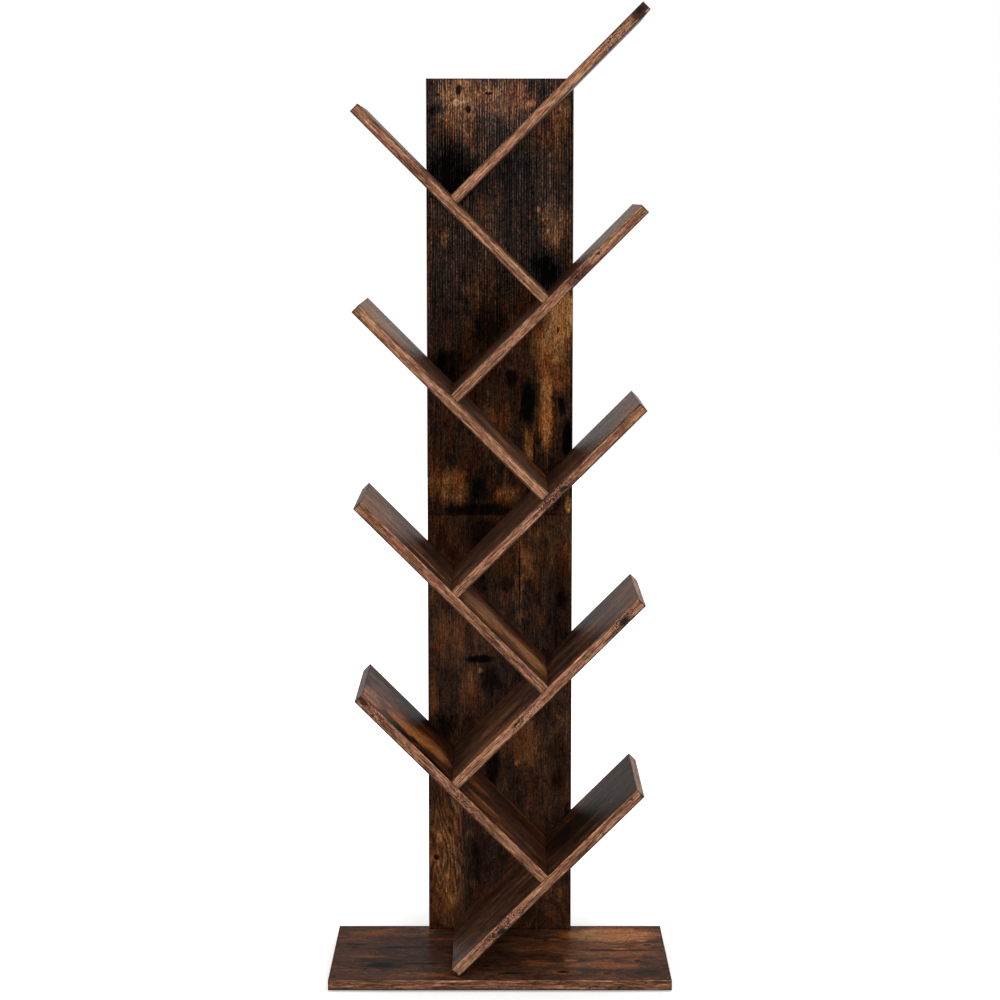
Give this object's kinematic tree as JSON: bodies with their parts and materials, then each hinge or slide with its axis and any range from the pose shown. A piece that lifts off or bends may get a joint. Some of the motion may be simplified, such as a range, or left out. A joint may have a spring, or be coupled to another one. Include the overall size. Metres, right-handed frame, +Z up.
{
  "type": "tree bookcase",
  "caption": "Tall free-standing tree bookcase: slanted shelves zigzag up the front of a narrow back panel that stands on a flat base board.",
  "frame": {"origin": "on the floor, under the middle of the base board", "axes": "+Z up, +Y towards the back panel and the wall, +X to the right as seen from the front"},
  "size_m": [0.5, 0.25, 1.4175],
  "materials": {
    "board_laminate": "satin rustic brown wood-print laminate on particle board",
    "edge_band": "satin reddish brown wood-print edge band",
    "zinc_screw": "bright zinc plated steel",
    "zinc_plate": "zinc plated sheet steel",
    "beech_dowel": "plain turned beech",
    "brown_cap": "moulded brown plastic",
    "glide_plastic": "moulded dark plastic"
  },
  "bodies": {
    "root": {"back_panel_lower": "board_laminate", "back_panel_upper": "board_laminate", "back_screws": "zinc_screw", "base_band_front": "edge_band", "base_band_left": "edge_band", "base_band_right": "edge_band", "base_board": "board_laminate", "base_dowels": "beech_dowel", "base_screws": "zinc_screw", "end_band_left_1": "edge_band", "end_band_left_2": "edge_band", "end_band_left_3": "edge_band", "end_band_left_4": "edge_band", "end_band_right_1": "edge_band", "end_band_right_2": "edge_band", "end_band_right_3": "edge_band", "end_band_right_4": "edge_band", "end_band_right_5": "edge_band", "floor_glides": "glide_plastic", "foot_band_right_1": "edge_band", "front_band_left_1": "edge_band", "front_band_left_2": "edge_band", "front_band_left_3": "edge_band", "front_band_left_4": "edge_band", "front_band_right_1": "edge_band", "front_band_right_2": "edge_band", "front_band_right_3": "edge_band", "front_band_right_4": "edge_band", "front_band_right_5": "edge_band", "glide_nails": "zinc_screw", "joint_dowels": "beech_dowel", "joint_screws": "zinc_screw", "panel_band_lower_left": "edge_band", "panel_band_lower_right": "edge_band", "panel_band_top": "edge_band", "panel_band_upper_left": "edge_band", "panel_band_upper_right": "edge_band", "screw_caps": "brown_cap", "seam_dowels": "beech_dowel", "seam_plate_screws": "zinc_screw", "seam_plates": "zinc_plate", "shelf_left_1": "board_laminate", "shelf_left_2": "board_laminate", "shelf_left_3": "board_laminate", "shelf_left_4": "board_laminate", "shelf_right_1": "board_laminate", "shelf_right_2": "board_laminate", "shelf_right_3": "board_laminate", "shelf_right_4": "board_laminate", "shelf_right_5": "board_laminate"}
  },
  "joints": []
}
